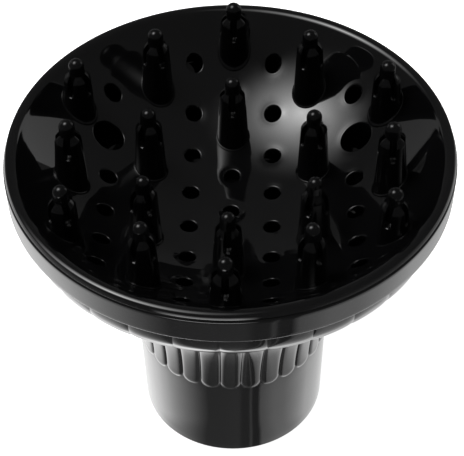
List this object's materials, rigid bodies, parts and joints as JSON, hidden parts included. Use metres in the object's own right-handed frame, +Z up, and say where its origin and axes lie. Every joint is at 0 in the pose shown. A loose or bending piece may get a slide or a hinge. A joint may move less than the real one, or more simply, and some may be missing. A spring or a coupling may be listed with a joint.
{
  "type": "dryer diffuser",
  "caption": "Bowl-shaped hair dryer diffuser with upright slotted fingers, vent holes, a fluted bell-shaped shell and a neck that grips the dryer's nozzle.",
  "frame": {"origin": "centre of the neck's open end, which the diffuser stands on", "axes": "+Z up the neck's axis towards the dish, +X to the right and +Y to the back"},
  "size_m": [0.1654, 0.1654, 0.1458],
  "materials": {
    "shell": "glossy black moulding",
    "dish": "glossy black moulding",
    "finger": "glossy black moulding",
    "grip": "soft matt black",
    "retainer": "satin black"
  },
  "bodies": {
    "diffuser": {"outer_shell": "shell", "finger_dish": "dish", "finger_01": "finger", "finger_02": "finger", "finger_03": "finger", "finger_04": "finger", "finger_05": "finger", "finger_06": "finger", "finger_07": "finger", "finger_08": "finger", "finger_09": "finger", "finger_10": "finger", "finger_11": "finger", "finger_12": "finger", "finger_13": "finger", "finger_14": "finger", "finger_15": "finger", "finger_16": "finger", "finger_17": "finger", "finger_18": "finger", "grip_ring": "grip", "grip_retainer": "retainer"},
    "tongue_01": {"grip_tongue_01": "grip"},
    "tongue_02": {"grip_tongue_02": "grip"},
    "tongue_03": {"grip_tongue_03": "grip"},
    "tongue_04": {"grip_tongue_04": "grip"},
    "tongue_05": {"grip_tongue_05": "grip"},
    "tongue_06": {"grip_tongue_06": "grip"},
    "tongue_07": {"grip_tongue_07": "grip"},
    "tongue_08": {"grip_tongue_08": "grip"}
  },
  "joints": [
    {"name": "tongue_01_bend", "type": "hinge", "parent": "diffuser", "child": "tongue_01", "pos_m": [0.031, 0, 0.0067], "axis": [0, 1, 0], "range_deg": [0, 45], "stiffness_Nm_per_rad": 0.02},
    {"name": "tongue_02_bend", "type": "hinge", "parent": "diffuser", "child": "tongue_02", "pos_m": [0.02192, 0.02192, 0.0067], "axis": [-0.7071, 0.7071, 0], "range_deg": [0, 45], "stiffness_Nm_per_rad": 0.02},
    {"name": "tongue_03_bend", "type": "hinge", "parent": "diffuser", "child": "tongue_03", "pos_m": [0, 0.031, 0.0067], "axis": [-1, 0, 0], "range_deg": [0, 45], "stiffness_Nm_per_rad": 0.02},
    {"name": "tongue_04_bend", "type": "hinge", "parent": "diffuser", "child": "tongue_04", "pos_m": [-0.02192, 0.02192, 0.0067], "axis": [-0.7071, -0.7071, 0], "range_deg": [0, 45], "stiffness_Nm_per_rad": 0.02},
    {"name": "tongue_05_bend", "type": "hinge", "parent": "diffuser", "child": "tongue_05", "pos_m": [-0.031, 0, 0.0067], "axis": [0, -1, 0], "range_deg": [0, 45], "stiffness_Nm_per_rad": 0.02},
    {"name": "tongue_06_bend", "type": "hinge", "parent": "diffuser", "child": "tongue_06", "pos_m": [-0.02192, -0.02192, 0.0067], "axis": [0.7071, -0.7071, 0], "range_deg": [0, 45], "stiffness_Nm_per_rad": 0.02},
    {"name": "tongue_07_bend", "type": "hinge", "parent": "diffuser", "child": "tongue_07", "pos_m": [0, -0.031, 0.0067], "axis": [1, 0, 0], "range_deg": [0, 45], "stiffness_Nm_per_rad": 0.02},
    {"name": "tongue_08_bend", "type": "hinge", "parent": "diffuser", "child": "tongue_08", "pos_m": [0.02192, -0.02192, 0.0067], "axis": [0.7071, 0.7071, 0], "range_deg": [0, 45], "stiffness_Nm_per_rad": 0.02}
  ]
}
